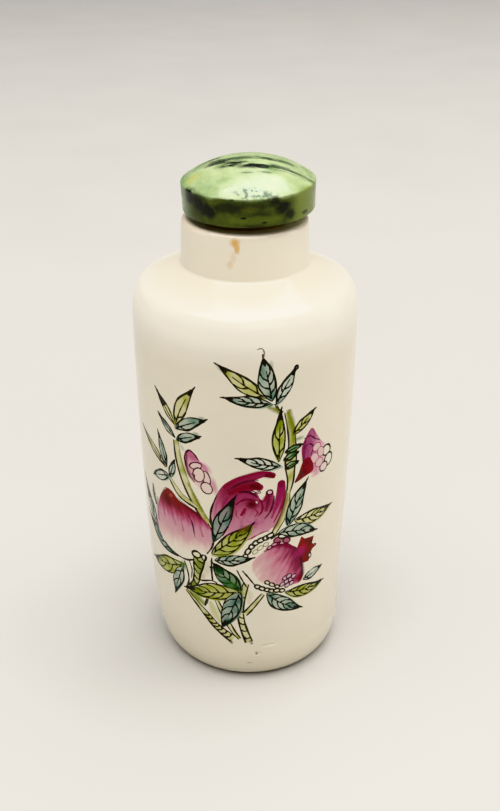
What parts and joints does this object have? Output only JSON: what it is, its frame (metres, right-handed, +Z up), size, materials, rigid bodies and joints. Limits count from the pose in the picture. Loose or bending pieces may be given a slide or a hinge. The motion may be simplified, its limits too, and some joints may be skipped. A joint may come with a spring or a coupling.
{
  "type": "snuff bottle",
  "caption": "Cylindrical porcelain snuff bottle with soft shoulders, a short neck, painted fruit and leaves, and a domed green stone stopper on a cork.",
  "frame": {"origin": "centre of the plane that the foot ring stands on, on the bottle's axis", "axes": "+Z up along the bottle's axis, -Y towards the front, where the painting is centred, +X to the viewer's right"},
  "size_m": [0.03, 0.03, 0.0735],
  "materials": {
    "painted_porcelain": "glossy glaze with enamel painting",
    "green_stone": "polished",
    "cork": "matt cut cork"
  },
  "bodies": {
    "root": {"bottle": "painted_porcelain", "stopper_cap": "green_stone", "stopper_cork": "cork"}
  },
  "joints": []
}
